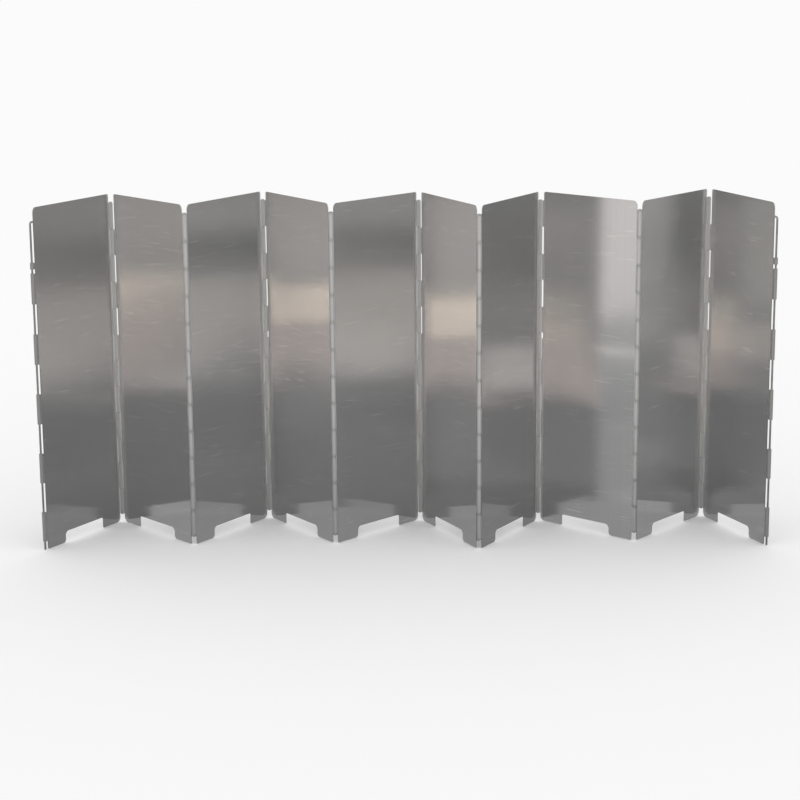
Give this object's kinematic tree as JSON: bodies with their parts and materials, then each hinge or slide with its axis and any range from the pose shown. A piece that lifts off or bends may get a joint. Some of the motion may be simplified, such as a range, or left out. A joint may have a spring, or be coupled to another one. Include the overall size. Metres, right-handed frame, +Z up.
{
  "type": "stove windscreen",
  "caption": "Folding accordion windscreen for a camp stove: thin aluminium plates with rolled knuckles on wire hinge pins, air cut-outs at the feet and a sliding ground stake at each end.",
  "frame": {"origin": "middle of the footprint of the standing zig-zag, at the level of the feet", "axes": "+Z up, +X along the row of plates from left to right as the user sees it, +Y away from the user"},
  "size_m": [0.5058, 0.0838, 0.24],
  "materials": {
    "plate": "satin mill finish",
    "hinge_pin": "plain drawn wire",
    "stake": "plain drawn wire"
  },
  "bodies": {
    "plate_1": {"plate_1": "plate"},
    "plate_2": {"plate_2": "plate", "hinge_pin_1": "hinge_pin"},
    "plate_3": {"plate_3": "plate", "hinge_pin_2": "hinge_pin"},
    "plate_4": {"plate_4": "plate", "hinge_pin_3": "hinge_pin"},
    "plate_5": {"plate_5": "plate", "hinge_pin_4": "hinge_pin", "hinge_pin_5": "hinge_pin"},
    "plate_6": {"plate_6": "plate", "hinge_pin_6": "hinge_pin"},
    "plate_7": {"plate_7": "plate", "hinge_pin_7": "hinge_pin"},
    "plate_8": {"plate_8": "plate", "hinge_pin_8": "hinge_pin"},
    "plate_9": {"plate_9": "plate", "hinge_pin_9": "hinge_pin"},
    "plate_10": {"plate_10": "plate"},
    "stake_left": {"stake_left": "stake"},
    "stake_right": {"stake_right": "stake"}
  },
  "joints": [
    {"name": "hinge_1", "type": "hinge", "parent": "plate_2", "child": "plate_1", "pos_m": [-0.20624, 0.03289, 0.12], "axis": [0, 0, 1], "range_deg": [-150, 75]},
    {"name": "hinge_2", "type": "hinge", "parent": "plate_3", "child": "plate_2", "pos_m": [-0.14851, -0.02534, 0.12], "axis": [0, 0, -1], "range_deg": [-147, 78]},
    {"name": "hinge_3", "type": "hinge", "parent": "plate_4", "child": "plate_3", "pos_m": [-0.09945, 0.04036, 0.12], "axis": [0, 0, 1], "range_deg": [-154, 71]},
    {"name": "hinge_4", "type": "hinge", "parent": "plate_5", "child": "plate_4", "pos_m": [-0.04925, -0.02448, 0.12], "axis": [0, 0, -1], "range_deg": [-143.5, 81.5]},
    {"name": "hinge_5", "type": "hinge", "parent": "plate_5", "child": "plate_6", "pos_m": [0.01096, 0.03119, 0.12], "axis": [0, 0, -1], "range_deg": [-152, 73]},
    {"name": "hinge_6", "type": "hinge", "parent": "plate_6", "child": "plate_7", "pos_m": [0.05102, -0.04036, 0.12], "axis": [0, 0, 1], "range_deg": [-165.5, 59.5]},
    {"name": "hinge_7", "type": "hinge", "parent": "plate_7", "child": "plate_8", "pos_m": [0.09658, 0.02782, 0.12], "axis": [0, 0, -1], "range_deg": [-143.5, 81.5]},
    {"name": "hinge_8", "type": "hinge", "parent": "plate_8", "child": "plate_9", "pos_m": [0.16052, -0.02351, 0.12], "axis": [0, 0, 1], "range_deg": [-134.5, 90.5]},
    {"name": "hinge_9", "type": "hinge", "parent": "plate_9", "child": "plate_10", "pos_m": [0.21618, 0.03671, 0.12], "axis": [0, 0, -1], "range_deg": [-160, 65]},
    {"name": "stake_left_slide", "type": "slide", "parent": "plate_1", "child": "stake_left", "axis": [0, 0, 1], "range_m": [-0.025, 0.01]},
    {"name": "stake_right_slide", "type": "slide", "parent": "plate_10", "child": "stake_right", "axis": [0, 0, 1], "range_m": [-0.025, 0.01]}
  ]
}
